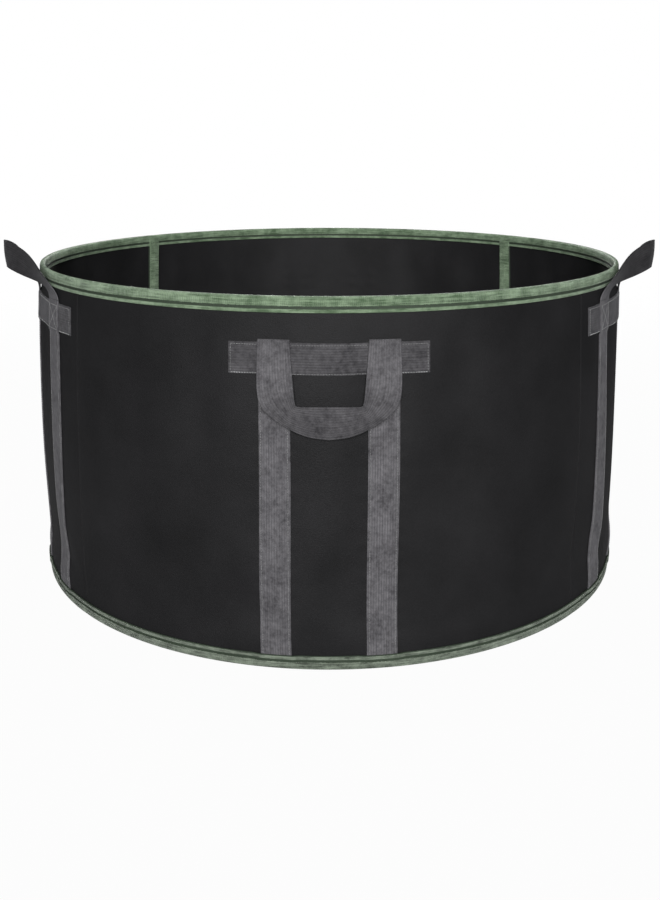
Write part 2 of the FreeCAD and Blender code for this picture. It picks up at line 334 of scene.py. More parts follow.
def section_faces(count, stations, corners, closed):
    """Corner ids (faces, 4), and the station and corner numbers that they stand for."""
    spans = stations if closed else stations - 1
    i, j = np.meshgrid(np.arange(spans), np.arange(corners), indexing="ij")
    station = np.stack([i, i, i + 1, i + 1], axis=-1).reshape(-1, 4)
    corner = np.stack([j, j + 1, j + 1, j], axis=-1).reshape(-1, 4)
    if not closed:
        for end in (0, stations - 1):
            k = np.arange(corners // 2 - 1)
            cap = np.stack([k, k + 1, corners - 2 - k, corners - 1 - k], axis=-1)
            if end == 0:
                cap = cap[:, ::-1]
            station = np.concatenate([station, np.full(cap.shape, end)])
            corner = np.concatenate([corner, cap])
    ids = (station % stations) * corners + corner % corners
    shift = (np.arange(count) * stations * corners)[:, None, None]
    return (ids[None] + shift).reshape(-1, 4), station, corner


def outward(points, quads):
    """The quads, turned round if they enclose a negative volume."""
    a, b, c, d = (points[quads[:, k]] for k in range(4))
    volume = np.einsum("ij,ij->", a, np.cross(b, c)) + np.einsum("ij,ij->", a, np.cross(c, d))
    return quads if volume > 0 else quads[:, ::-1]


def mesh_arrays(sections, closed):
    """Points, quads and per-corner weave coordinates in metres of one run of sections."""
    count, stations, corners, _ = sections.shape
    quads, station, corner = section_faces(count, stations, corners, closed)
    points = sections.reshape(-1, 3)
    first = sections[0]
    length = np.linalg.norm(np.roll(first, -1, axis=0) - first, axis=-1).mean(axis=1)
    width = np.linalg.norm(np.roll(first, -1, axis=1) - first, axis=-1)[stations // 2]
    u = np.concatenate([[0], np.cumsum(length)])[station]
    v = np.concatenate([[0], np.cumsum(width)])[corner]
    weave = np.tile(np.stack([u, v], axis=-1), (count, 1, 1))
    turned = outward(points, quads)
    if turned is not quads:
        weave = weave[:, ::-1]
    return points, turned, weave


def make_object(name, parts):
    """A smooth mesh object of several (sections, closed) parts, with a "weave" coordinate layer."""
    points, quads, weave = zip(*(mesh_arrays(*part) for part in parts))
    starts = np.cumsum([0] + [len(p) for p in points])
    quads = np.concatenate([q + start for q, start in zip(quads, starts)])
    points, weave = np.concatenate(points), np.concatenate(weave)
    mesh = bpy.data.meshes.new(name)
    mesh.vertices.add(len(points))
    mesh.vertices.foreach_set("co", points.astype(np.float32).ravel())
    mesh.loops.add(quads.size)
    mesh.loops.foreach_set("vertex_index", quads.astype(np.int32).ravel())
    mesh.polygons.add(len(quads))
    mesh.polygons.foreach_set("loop_start", np.arange(0, quads.size, 4, dtype=np.int32))
    mesh.update(calc_edges=True)
    layer = mesh.uv_layers.new(name="weave")
    layer.data.foreach_set("uv", weave.astype(np.float32).ravel())
    mesh.shade_smooth()
    obj = bpy.data.objects.new(name, mesh)
    bpy.context.scene.collection.objects.link(obj)
    return obj


def piece(name, parts, look, node, body="bag"):
    """A finished piece in a (material, slot) look, which replaces a CAD node. It rides on a body,
    or is left free when body is None."""
    material, slot = look
    obj = make_object(name, parts)
    obj.data.materials.append(material)
    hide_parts(node)
    if body:
        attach(obj, body)
    return obj


# ------ materials

class Shader:
    """Short calls for building one procedural material."""

    def __init__(self, name):
        self.material = bpy.data.materials.new(name)
        self.material.use_nodes = True
        self.tree = self.material.node_tree
        self.surface = self.tree.nodes["Principled BSDF"]
        self.surface.inputs["Specular IOR Level"].default_value = 0.12
        self.place = self.node("ShaderNodeTexCoord").outputs["Object"]
        layer = self.node("ShaderNodeUVMap")
        layer.uv_map = "weave"
        self.weave = layer.outputs["UV"]

    def node(self, kind, *values, settings=None, **inputs):
        """A node with its settings, its first inputs from values, and its other inputs by name."""
        made = self.tree.nodes.new(kind)
        for key, value in (settings or {}).items():
            setattr(made, key, value)
        for socket, value in zip(made.inputs, values):
            self.put(socket, value)
        for key, value in inputs.items():
            self.put(made.inputs[key], value)
        return made

    def put(self, socket, value):
        if isinstance(value, bpy.types.NodeSocket):
            self.tree.links.new(value, socket)
        else:
            socket.default_value = value

    def math(self, operation, *values):
        return self.node("ShaderNodeMath", *values, settings={"operation": operation}).outputs[0]

    def line(self, value, factor, base):
        """value * factor + base"""
        return self.math("MULTIPLY_ADD", value, factor, base)

    def times(self, first, second):
        return self.math("MULTIPLY", first, second)

    def scaled(self, vector, scale):
        return self.node("ShaderNodeMapping", Vector=vector, Scale=scale).outputs[0]

    def noise(self, vector, scale, detail=3.0, roughness=0.55):
        made = self.node("ShaderNodeTexNoise", Vector=vector, Scale=scale, Detail=detail,
                         Roughness=roughness)
        return made.outputs["Fac"]

    def split(self, vector):
        return self.node("ShaderNodeSeparateXYZ", vector).outputs[:2]

    def ramp(self, factor, stops):
        made = self.node("ShaderNodeValToRGB", factor)
        while len(made.color_ramp.elements) < len(stops):
            made.color_ramp.elements.new(0.5)
        for element, (position, colour) in zip(made.color_ramp.elements, stops):
            element.position = position
            element.color = (*colour, 1)
        return made.outputs["Color"]

    def slope(self, value, start, stop, first, last):
        """first up to start, then smoothly to last at stop."""
        made = self.node("ShaderNodeMapRange", value, start, stop, first, last,
                         settings={"interpolation_type": "SMOOTHSTEP"})
        return made.outputs[0]

    def either(self, share, first, second):
        """A mix of two surfaces: the first where share is 0, the second where it is 1."""
        return self.node("ShaderNodeMixShader", share, first, second).outputs[0]

    def darken(self, colour, factor, share):
        """colour times a factor, by a share from 0 to 1."""
        made = self.node("ShaderNodeMix", settings={"data_type": "RGBA", "blend_type": "MULTIPLY"},
                         Factor=share, A=colour, B=factor)
        return made.outputs["Result"]

    def finish(self, colour, roughness, height, depth, sheen, sheen_tint):
        bump = self.node("ShaderNodeBump", Height=height, Strength=1.0, Distance=depth)
        for key, value in (("Base Color", colour), ("Roughness", roughness),
                           ("Normal", bump.outputs["Normal"]), ("Sheen Weight", sheen),
                           ("Sheen Roughness", 0.55), ("Sheen Tint", (*sheen_tint, 1))):
            self.put(self.surface.inputs[key], value)
        return self.material


def felt_material(name, dark, light):
    """Needle-punched felt: crossing fibres, a fine heather and broad uneven patches."""
    s = Shader(name)
    fibres = s.noise(s.scaled(s.place, (260, 1500, 900)), 1.0, 2.0)
    crossing = s.noise(s.scaled(s.place, (1500, 300, 420)), 1.0, 2.0)
    heather = s.noise(s.place, 700, 4.0, 0.7)
    patches = s.noise(s.place, 9, 3.0)
    nap = s.math("MAXIMUM", fibres, crossing)
    mixed = s.line(heather, 0.55, s.times(patches, 0.45))
    colour = s.ramp(mixed, [(0.34, dark), (0.66, light)])
    lint = s.ramp(s.noise(s.place, 1100, 1.0), [(0.70, (1, 1, 1)), (0.78, (1.7, 1.7, 1.75))])
    colour = s.darken(colour, lint, 1.0)
    height = s.math("ADD", nap, s.times(heather, 0.6))
    roughness = s.line(patches, 0.1, 0.52)
    s.surface.inputs["Specular IOR Level"].default_value = 0.18
    return s.finish(colour, roughness, height, 0.5 * MM, 0.02, (0.5, 0.5, 0.53))


RIB_PITCH = WEBBING_WIDTH / 12
PICK_PITCH = 1.7 * MM
PLY_PITCH = 1.1 * MM


def webbing_material(name, dark, light, painted_shade=None):
    """Flat polypropylene webbing: twelve ribs along it, with picks that step from rib to rib, and
    painted shade in the grooves between them. The last argument, if given, is (length, start,
    stop, level), a painted shade: from start to stop away from either end of a piece of that
    length, its colour falls to a level."""
    s = Shader(name)
    along, across = s.split(s.weave)
    rib_phase = s.times(across, TAU / RIB_PITCH)
    rib = s.line(s.math("COSINE", rib_phase), -0.5, 0.5)
    rib_number = s.math("FLOOR", s.math("DIVIDE", across, RIB_PITCH / 2))
    pick_phase = s.times(along, TAU / PICK_PITCH)
    pick_phase = s.line(rib_number, math.pi, pick_phase)
    pick = s.line(s.math("SINE", pick_phase), 0.5, 0.5)
    streak = s.noise(s.scaled(s.weave, (14, 700, 1)), 1.0, 3.0)
    patches = s.noise(s.place, 38, 4.0, 0.6)
    mottle = s.noise(s.place, 150, 3.0, 0.75)
    tone = s.line(streak, 0.2, s.times(patches, 0.4))
    tone = s.line(mottle, 0.4, tone)
    colour = s.ramp(tone, [(0.38, dark), (0.62, light)])
    # painted shade: the colour is darkened in the grooves between the ribs (less where the patches
    # clear them) and between the picks
    clear = s.line(patches, 0.9, -0.22)
    groove_shade = s.times(s.math("SUBTRACT", 1.0, s.math("POWER", rib, 0.6)), clear)
    groove_shade = s.math("SUBTRACT", 1.0, groove_shade)
    groove_shade = s.times(groove_shade, s.line(pick, 0.3, 0.75))
    colour = s.darken(colour, groove_shade, 0.9)
    # painted shade: the colour falls towards the middle of a loop, away from its ends at the folds
    if painted_shade:
        length, start, stop, level = painted_shade
        reach = s.math("MINIMUM", along, s.math("SUBTRACT", length, along))
        colour = s.darken(colour, s.slope(reach, start, stop, 1, level), 1.0)
    height = s.line(rib, 0.6, s.times(pick, 0.4))
    roughness = s.line(streak, 0.2, 0.55)
    return s.finish(colour, roughness, height, 0.35 * MM, 0.1, (0.8, 0.8, 0.84))


def thread_material(name, dark, light, roughness):
    """Twisted yarn: plies that wind round it, painted shade between them, and a colour that drifts
    along it.
    """
    s = Shader(name)
    along, across = s.split(s.weave)
    phase = s.times(across, TAU / (2 * PLY_PITCH))
    phase = s.line(along, TAU / PLY_PITCH, phase)
    ply = s.line(s.math("SINE", phase), 0.5, 0.5)
    drift = s.noise(s.place, 45, 4.0, 0.7)
    layers = s.noise(s.scaled(s.place, (30, 30, 420)), 1.0, 3.0, 0.7)
    tone = s.line(layers, 0.5, s.times(drift, 0.5))
    colour = s.ramp(tone, [(0.40, dark), (0.60, light)])
    # painted shade in the hollows between the plies
    colour = s.darken(colour, s.line(ply, 0.25, 0.8), 1.0)
    return s.finish(colour, roughness, ply, 0.12 * MM, 0.3, (0.85, 0.9, 0.85))


WEBBING_TONES = ((0.060, 0.058, 0.063), (0.194, 0.188, 0.200))
DARK_WEBBING_TONES = ((0.034, 0.033, 0.036), (0.125, 0.121, 0.129))
GREEN_TONES = ((0.085, 0.140, 0.074), (0.290, 0.395, 0.258))
FOOT_GREEN_TONES = ((0.050, 0.064, 0.046), (0.265, 0.315, 0.245))
GREY_TONES = ((0.12, 0.119, 0.123), (0.28, 0.277, 0.285))
LIGHT_TONES = ((0.20, 0.20, 0.205), (0.40, 0.40, 0.41))

# a look is a material, and the name of the record's slot that it stands for
FELT_LOOK = felt_material("black_felt", (0.0080, 0.0080, 0.0085), (0.0192, 0.0188, 0.0202)), "felt"
EDGE_LOOK = felt_material("edge_felt", (0.028, 0.040, 0.027), (0.056, 0.076, 0.052)), "edge_felt"
WEBBING_LOOK = webbing_material("grey_webbing", *WEBBING_TONES), "webbing"
DARK_WEBBING_LOOK = webbing_material("dark_webbing", *DARK_WEBBING_TONES), "webbing"
GREEN_LOOK = thread_material("green_thread", *GREEN_TONES, 0.6), "green_thread"
FOOT_GREEN_LOOK = thread_material("foot_green_thread", *FOOT_GREEN_TONES, 0.6), "green_thread"
GREY_LOOK = thread_material("grey_thread", *GREY_TONES, 0.55), "grey_thread"
LIGHT_LOOK = thread_material("light_thread", *LIGHT_TONES, 0.55), "grey_thread"


# ------ felt body

COVER_RAMP = 12 * MM
COVER_FOOT = 3 * MM
PUCKER_DEPTH = 0.7 * MM
PUCKER_REACH = 9 * MM
PUCKER_PITCH = 23 * MM


def strap_bearings():
    return [h["bearing"] + side * STRAP_ALONG / WALL_RADIUS for h in HANDLES for side in (-1, 1)]


def plateau(value, half, ramp):
    """1 within half of zero, falling smoothly to 0 over ramp."""
    return smooth((half + ramp - np.abs(value)) / ramp)


def strap_cover(bearing, z):
    """How far the base binding stands out over a strap's foot, above the bottom edge."""
    cover = 0
    for centre in strap_bearings():
        gap = bearing_gap(bearing, centre) * WALL_RADIUS
        cover = np.maximum(cover, plateau(gap, WEBBING_WIDTH / 2, COVER_RAMP))
    return WEBBING * cover * smooth((z - COVER_FOOT) / (STRAP_FOOT - COVER_FOOT))


def pucker(bearing, z):
    """Small puckers that the strap stitching pulls into the felt beside each strap."""
    depth = 0
    for centre in strap_bearings():
        gap = np.abs(bearing_gap(bearing, centre)) * WALL_RADIUS - WEBBING_WIDTH / 2
        near = np.exp(-(gap / PUCKER_REACH) ** 2)
        depth = depth + near * (0.5 + 0.5 * np.sin(z * TAU / PUCKER_PITCH + 3 * centre))
    along_strap = smooth((z - 30 * MM) / (40 * MM)) * smooth((440 * MM - z) / (40 * MM))
    return -PUCKER_DEPTH * depth * along_strap


def wall_panel(name, first, last):
    seam_gap = 0.05 * MM / WALL_RADIUS
    edge = 0.3 * MM
    bearing = spaced(first + seam_gap, last - seam_gap, 5.5 * MM / WALL_RADIUS, edge / WALL_RADIUS)
    z = spaced(WALL_FOOT, WALL_TOP, 6 * MM, edge)
    b, h = np.meshgrid(bearing, z, indexing="ij")
    middle = on_wall(b, h, pucker(b, h) - FELT / 2)
    thickness = FELT * np.minimum.outer(roundness(bearing, edge / WALL_RADIUS), roundness(z, edge))
    node = f"wall_panel_{name}"
    piece(f"{node}_felt", [sheet(middle, thickness)], FELT_LOOK, node)


# ripples of the base: size, turns along x and y in radians a metre, and phase
RIPPLES = ((1, 23, 9, 1), (0.7, -12, 31, 0), (0.5, 47, 0, 2))
RIPPLE_HEIGHT = 0.9 * MM


def base_disc():
    """The round base: a square grid bent to a disc, with shallow ripples off the ground."""
    radius = WALL_RADIUS - FELT - 0.5 * MM
    edge = 0.006
    side = spaced(-1, 1, 3 * edge, edge)
    x, y = np.meshgrid(side, side, indexing="ij")
    px = x * np.sqrt(1 - y ** 2 / 2) * radius
    py = y * np.sqrt(1 - x ** 2 / 2) * radius
    reach = np.hypot(px, py) / radius
    ripple = sum(size * np.sin(a * px + b * py + phase) for size, a, b, phase in RIPPLES)
    lift = RIPPLE_HEIGHT * np.clip(ripple + 0.6, 0, None) * smooth((1 - reach) / 0.12)
    middle = np.stack([px, py, FELT / 2 + 0.05 * MM + lift], axis=-1)
    thickness = FELT * np.minimum.outer(roundness(side, edge), roundness(side, edge))
    piece("base_disc_felt", [sheet(middle, thickness)], FELT_LOOK, "base_disc")


RING_STEPS = 900
BED_STEPS = 450
OVERLOCK_PITCH = 2.7 * MM
COVER_PITCH = 2.6 * MM
SEAM_PITCH = 2.9 * MM
WRAP_HALF = 1.25 * MM
EDGE_ROUND = 0.8 * MM
ROW_SHARE = 0.7
HEM_CENTRE_OUT = -FELT / 2
HEM_CENTRE_Z = HEIGHT - (FELT / 2 + BINDING + OVERLOCK)


def joined(*stretches):
    """One path (out, z, normal out, normal z) from several stretches of the same four."""
    return [np.concatenate(column) for column in zip(*(np.broadcast_arrays(*s) for s in stretches))]


def hem_path(radius, foot, arc_steps=9, leg_steps=5):
    """A strip that is folded over the rim at a radius, up outside and down inside."""
    turn = np.linspace(0, math.pi, arc_steps)
    cos, sin = np.cos(turn), np.sin(turn)
    leg = np.linspace(foot, HEM_CENTRE_Z, leg_steps)[:-1]
    return joined((HEM_CENTRE_OUT + radius, leg, 1, 0),
                  (HEM_CENTRE_OUT + radius * cos, HEM_CENTRE_Z + radius * sin, cos, sin),
                  (HEM_CENTRE_OUT - radius, leg[::-1], -1, 0))


def no_lift(bearing, z):
    return 0


def ring_sheet(out, z, thickness, edge, lift=no_lift, steps=RING_STEPS):
    """A ring whose section is the (out, z) path, moved outwards by lift(bearing, z)."""
    bearing = np.arange(steps) * TAU / steps
    b, o = np.meshgrid(bearing, out, indexing="ij")
    height = np.broadcast_to(z, b.shape)
    distance = np.concatenate([[0], np.cumsum(np.hypot(np.diff(out), np.diff(z)))])
    grid = on_wall(b, height, o + lift(b, height))
    return sheet(grid, thickness * roundness(distance, edge)[None], closed=True)


def with_edges(out, z):
    """The path with three more points near each end, for a rounded edge."""
    path = np.stack([out, z], axis=-1)
    first, last = unit(path[1] - path[0]), unit(path[-2] - path[-1])
    front = [path[0] + first * EDGE_ROUND * k for k in (0.13, 0.5, 1)]
    back = [path[-1] + last * EDGE_ROUND * k for k in (1, 0.5, 0.13)]
    path = np.concatenate([path[:1], front, path[1:-1], back, path[-1:]])
    return path[:, 0], path[:, 1]


def rim_binding():
    out, z, _, _ = hem_path(FELT / 2 + 0.1 * MM + BINDING / 2, RIM_BINDING_LOW)
    out, z = with_edges(out, z)
    piece("rim_binding_felt", [ring_sheet(out, z, BINDING, EDGE_ROUND)], EDGE_LOOK, "rim_binding")


def ring_wraps(path, slant, half_height, jitter, lift=no_lift):
    """Thread wraps across a hem, side by side all the way round, each leaning by slant pitches.
    Their first and last ends are uneven by the two jitters."""
    out, z, normal_out, normal_z = path
    count = round(TAU * WALL_RADIUS / OVERLOCK_PITCH)
    random = np.random.default_rng(7)
    bearing = np.arange(count) * TAU / count
    share = np.linspace(0, 1, len(out))
    b = bearing[:, None] + slant * (TAU / count) * share[None]
    b = b + random.normal(0, 0.06, (count, 1)) * TAU / count
    uneven = random.uniform(-1, 1, (count, 2)) * np.array(jitter)
    height = z[None] + uneven[:, :1] * (share < 0.12) + uneven[:, 1:] * (share > 0.88)
    paths = on_wall(b, height, out + lift(b, height))
    normals = radial(b) * normal_out[None, :, None] + UP * normal_z[None, :, None]
    return threads(paths, normals, WRAP_HALF, half_height)


def ring_cord(out, z, half_width, half_height, wave, pitch=3 * MM, lift=no_lift):
    """One cord all the way round, waving up and down at the pitch of the wraps."""
    turns = round(TAU * WALL_RADIUS / pitch)
    bearing = np.arange(turns * 4) * TAU / (turns * 4)
    height = z + wave * np.sin(bearing * turns)
    paths = on_wall(bearing, height, out + lift(bearing, height))[None]
    return threads(paths, radial(bearing)[None], half_width, half_height, closed=True)


def ring_row(out, low_z, high_z, facing, lift=no_lift):
    """A cover-stitch row: a looper thread in a tight zigzag between two needle threads."""
    turns = round(TAU * WALL_RADIUS / COVER_PITCH)
    steps = turns * 6
    bearing = np.arange(steps) * TAU / steps
    swing = np.clip(1.25 * np.sin(bearing * turns), -1, 1)
    middle, half = (low_z + high_z) / 2, ROW_SHARE * (high_z - low_z) / 2
    height = middle + half * swing
    zigzag = on_wall(bearing, height, out + lift(bearing, height))[None]
    facing_out = facing * radial(bearing)[None]
    parts = [threads(zigzag, facing_out, 0.55 * MM, 0.24 * MM, closed=True)]
    for edge in (-1, 1):
        parts.append(ring_cord(out + facing * 0.22 * MM, middle + edge * half, 0.42 * MM, 0.3 * MM,
                               0.12 * MM, COVER_PITCH, lift))
    bed_z = np.linspace(middle - half, middle + half, 4)
    bed_out = np.full(4, out - facing * 0.1 * MM)
    parts.append(ring_sheet(bed_out, bed_z, 0.24 * MM, 0.3 * MM, lift, BED_STEPS))
    return parts


def rim_thread():
    bed = FELT / 2 + BINDING + 0.25 * MM
    out, z, _, _ = hem_path(bed, RIM_OVERLOCK_LOW + 0.6 * MM)
    wraps = hem_path(bed + 0.2 * MM, RIM_OVERLOCK_LOW + 0.5 * MM, 6, 3)
    parts = [ring_sheet(out, z, 0.3 * MM, 0.4 * MM, steps=BED_STEPS),
             ring_wraps(wraps, 1.2, 0.28 * MM, (0.6 * MM, 0.6 * MM))]
    for side in (-1, 1):
        out = HEM_CENTRE_OUT + side * (bed + 0.3 * MM)
        parts.append(ring_cord(out, RIM_OVERLOCK_LOW + 1.1 * MM, 0.6 * MM, 0.35 * MM, 0.35 * MM))
    piece("rim_overlock_yarn", parts, GREEN_LOOK, "rim_overlock_thread")
    row_out = BINDING + 0.3 * MM
    for label, out, facing in (("outside", row_out, 1), ("inside", -FELT - row_out, -1)):
        row = ring_row(out, *RIM_STITCH, facing)
        piece(f"rim_topstitch_yarn_{label}", row, GREEN_LOOK, "rim_topstitch_thread")


def foot_path(face, top):
    """A path down the outside of the foot, round its corner and in under the bottom edge."""
    corner, floor, under = 1.6 * MM, 0.32 * MM, 8 * MM
    turn = np.linspace(0, math.pi / 2, 4)
    cos, sin = np.cos(turn), np.sin(turn)
    down = np.linspace(top, floor + corner, 4)[:-1]
    inward = np.linspace(face - corner, face - under, 3)[1:]
    return joined((face, down, 1, 0),
                  (face - corner + corner * cos, floor + corner - corner * sin, cos, -sin),
                  (inward, floor, 0, -1))


def base_edge():
    """The felt edge round the foot of the wall, and the green sewing over it."""
    z = np.linspace(BASE_BINDING_LOW, BASE_BINDING_HIGH, 8)
    out, z = with_edges(np.full(8, BINDING / 2 + 0.05 * MM), z)
    piece("base_binding_felt", [ring_sheet(out, z, BINDING, EDGE_ROUND, strap_cover)], EDGE_LOOK,
          "base_binding")
    face = BINDING + 0.4 * MM
    out, z, _, _ = foot_path(face - 0.1 * MM, BASE_OVERLOCK_HIGH - 0.5 * MM)
    wraps = foot_path(face + 0.12 * MM, BASE_OVERLOCK_HIGH - 0.4 * MM)
    parts = [ring_sheet(out, z, 0.3 * MM, 0.4 * MM, strap_cover),
             ring_wraps(wraps, 1.0, 0.26 * MM, (0.5 * MM, 0), strap_cover),
             ring_cord(face + 0.25 * MM, BASE_OVERLOCK_HIGH - 1.0 * MM, 0.6 * MM, 0.35 * MM,
                       0.35 * MM, lift=strap_cover)]
    piece("base_overlock_yarn", parts, FOOT_GREEN_LOOK, "base_overlock_thread")
    row = ring_row(BINDING + 0.3 * MM, *BASE_STITCH, 1, strap_cover)
    piece("base_topstitch_yarn", row, FOOT_GREEN_LOOK, "base_topstitch_thread")


def wall_seam(name, bearing):
    """The seam allowance flat on the inside of a wall seam, and the thread that overlocks it."""
    foot, top, edge = WALL_FOOT + 1 * MM, SEAM_HIGH, 0.7 * MM
    z = spaced(foot, top, 8 * MM, edge)
    side = spaced(-SEAM_HALF, SEAM_HALF, 2 * MM, edge)
    h, s = np.meshgrid(z, side, indexing="ij")
    inner = -FELT - SEAM_THICKNESS / 2 - 0.1 * MM
    crown = SEAM_CROWN * (1 - (s / SEAM_HALF) ** 2)
    middle = on_wall(bearing + s / WALL_RADIUS, h, inner - crown)
    thickness = SEAM_THICKNESS * np.minimum.outer(roundness(z, edge), roundness(side, edge))
    node = f"seam_binding_{name}"
    piece(f"{node}_felt", [sheet(middle, thickness)], EDGE_LOOK, node)
    seam_thread(name, bearing, foot, span(f"seam_overlock_{name}")[1])


def seam_thread(name, bearing, foot, top):
    """Slanting wraps over a seam allowance and on over the rim, under three needle threads."""
    count = int((top - foot - 8 * MM) / SEAM_PITCH)
    random = np.random.default_rng(11)
    start = foot + 2 * MM + SEAM_PITCH * np.arange(count)[:, None]
    across = np.linspace(-1, 1, 7)[None]
    height = start + 4.5 * MM * (across + 1) / 2 + random.normal(0, 0.2 * MM, (count, 1))
    face = -FELT - SEAM_THICKNESS - 0.35 * MM - SEAM_CROWN * (1 - across ** 2)
    face = face + 0.8 * MM * np.abs(across) ** 12
    spread = (SEAM_HALF - 0.4 * MM) * across
    paths = on_wall(bearing + spread / WALL_RADIUS, height, face)
    normals = -radial(np.broadcast_to(bearing + spread / WALL_RADIUS, height.shape))
    parts = [threads(paths, normals, WRAP_HALF, 0.28 * MM)]
    run = np.linspace(foot + 3 * MM, top - 3 * MM, 220)
    for edge in (-0.82, 0.0, 0.82):
        wave = edge * SEAM_HALF + 0.5 * MM * np.sin(run * TAU / (2 * SEAM_PITCH))
        out = -FELT - SEAM_THICKNESS - 0.65 * MM - SEAM_CROWN * (1 - edge ** 2)
        line = on_wall(bearing + wave / WALL_RADIUS, run, out)[None]
        facing = -radial(np.full(len(run), bearing))[None]
        parts.append(threads(line, facing, 0.55 * MM, 0.32 * MM))
    node = f"seam_overlock_{name}"
    piece(f"{node}_yarn", parts, GREEN_LOOK, node)


# ------ handles

RIB_RELIEF = 0.16 * MM
END_ROUND = 0.8 * MM
SIDE_ROUND = 0.5 * MM
CROSSING_RAMP = 5 * MM

# hanging loop: drop, distance off the wall, fold radius, reach of the wall's shape, cupping
LOOP_DROP = 131 * MM
STAND_OFF = 15 * MM
FOLD_TURN = 1.7 * MM
LEG_CLING = 70 * MM
HANGING_CUP = 2.2 * MM


def ribs(side):
    """Rib relief across webbing, with a thicker selvage at both edges."""
    edge = np.abs(np.abs(side) - WEBBING_WIDTH / 2 + 1.2 * MM) < 1.0 * MM
    wave = -np.cos((side + WEBBING_WIDTH / 2) * TAU / RIB_PITCH)
    return RIB_RELIEF * wave + 0.12 * MM * edge


def across_webbing():
    return spaced(-WEBBING_WIDTH / 2, WEBBING_WIDTH / 2, RIB_PITCH / 5, SIDE_ROUND)


def webbing_thickness(run, side, first=True, last=True):
    """Thickness over a strip of webbing: ribs across it and rounded edges."""
    shape = np.minimum.outer(roundness(run, END_ROUND, first, last), roundness(side, SIDE_ROUND))
    return (WEBBING + ribs(side)[None]) * shape


def band_top(handle):
    return span(f"{handle['name']}_band")[1]


def strap_out(handle, z):
    """How far a strap's middle stands out from the wall: it steps over the band."""
    start = band_top(handle) - WEBBING_WIDTH
    return WEBBING / 2 + WEBBING * smooth((z - start + CROSSING_RAMP) / CROSSING_RAMP)


def handle_bearing(handle, along):
    return handle["bearing"] + along / WALL_RADIUS


def band(handle):
    run = spaced(-BAND_HALF, BAND_HALF, 3 * MM, END_ROUND)
    side = across_webbing()
    a, s = np.meshgrid(run, side, indexing="ij")
    sway = 0.35 * MM * np.sin(a * 41 + handle["fold"] * 9)
    height = band_top(handle) - WEBBING_WIDTH / 2 + s + sway
    middle = on_wall(handle_bearing(handle, a), height, WEBBING / 2 + 0.05 * MM)
    parts = [sheet(middle, webbing_thickness(run, side))]
    node = f"{handle['name']}_band"
    piece(f"{node}_webbing", parts, DARK_WEBBING_LOOK, node)


def strap(handle, label, along):
    """Upright webbing that ends below its fold, or runs straight on into a raised loop."""
    top = handle["fold"] - (0 if handle["raised"] else 2 * MM)
    run = spaced(STRAP_FOOT, top, 5 * MM, END_ROUND)
    side = across_webbing()
    h, s = np.meshgrid(run, side, indexing="ij")
    wander = 0.5 * MM * np.sin(h * 17 + 40 * along + handle["bearing"]) * smooth((0.40 - h) / 0.1)
    middle = on_wall(handle_bearing(handle, along + s + wander), h, strap_out(handle, h) + 0.1 * MM)
    parts = [sheet(middle, webbing_thickness(run, side, last=False))]
    node = f"{handle['name']}_strap_{label}"
    piece(f"{node}_webbing", parts, WEBBING_LOOK, node)


def handle_axes(handle):
    """Hinge centre, and the unit vectors along the hinge, outwards and up."""
    bearing = handle["bearing"]
    outwards = radial(bearing)
    along = np.array([math.cos(bearing), math.sin(bearing), 0.0])
    return outwards * handle["hinge"] + UP * handle["fold"], along, outwards


def from_hinge(handle, along, out, up):
    """Points of the straight frame of a handle's hinge."""
    centre, side, outwards = handle_axes(handle)
    along, out, up = (np.asarray(v)[..., None] for v in np.broadcast_arrays(along, out, up))
    return centre + along * side + out * outwards + up * UP


def wall_below_hinge(handle, along, out):
    """The "out" coordinate from the hinge of a point that stands out from the wall."""
    z = handle["fold"]
    bearing = handle_bearing(handle, along)
    radius = plain_radius(z) + sag(bearing, np.full_like(bearing, z)) + out
    return radius * np.cos(along / WALL_RADIUS) - handle["hinge"]


def through(points):
    """LOOP_POINTS evenly spaced points of a smooth curve through the given points."""
    points = np.asarray(points, float)
    padded = np.concatenate([[2 * points[0] - points[1]], points, [2 * points[-1] - points[-2]]])
    pieces = []
    f = np.linspace(0, 1, 24, endpoint=False)[:, None]
    for k in range(len(points) - 1):
        a, b, c, d = padded[k:k + 4]
        pieces.append(0.5 * (2 * b + (c - a) * f + (2 * a - 5 * b + 4 * c - d) * f ** 2
                             + (3 * b - a - 3 * c + d) * f ** 3))
    curve = np.concatenate(pieces + [points[-1:]])
    distance = np.concatenate([[0], np.cumsum(np.linalg.norm(np.diff(curve, axis=0), axis=1))])
    wanted = np.linspace(0, distance[-1], LOOP_POINTS)
    return np.stack([np.interp(wanted, distance, curve[:, k]) for k in range(2)], axis=-1)


HALF_SPAN = STRAP_ALONG + WEBBING_WIDTH / 2
HALF_WINDOW = STRAP_ALONG - WEBBING_WIDTH / 2
LOOP_POINTS = 58
# half outlines of the hanging loop, as (along the hinge, drop below it)
OUTER_EDGE = ((HALF_SPAN, 2 * MM), (HALF_SPAN + 1 * MM, 30 * MM), (HALF_SPAN + 0.5 * MM, 58 * MM),
              (89.5 * MM, 78 * MM), (78 * MM, 94 * MM), (53 * MM, 112 * MM), (27 * MM, 123.5 * MM),
              (0, 127.5 * MM))
INNER_EDGE = ((HALF_WINDOW + 0.5 * MM, 2 * MM), (HALF_WINDOW - 1 * MM, 25 * MM),
              (HALF_WINDOW - 5 * MM, 68 * MM), (HALF_WINDOW - 6.5 * MM, 79 * MM),
              (HALF_WINDOW - 10 * MM, 83.5 * MM), (18 * MM, 84 * MM), (0, 84 * MM))
# creases at its corners: distance below the hinge, slope, half width and height
CREASES = ((62 * MM, 0.55, 3.2 * MM, 1.8 * MM), (74 * MM, 0.75, 2.8 * MM, -1.5 * MM),
           (48 * MM, 0.3, 3.6 * MM, 1.1 * MM))


def loop_edge(points):
    """Both halves of a loop's edge, left to right, as (along, drop)."""
    half = through(points)
    left = half * np.array([-1, 1])
    return np.concatenate([left, half[::-1][1:]])


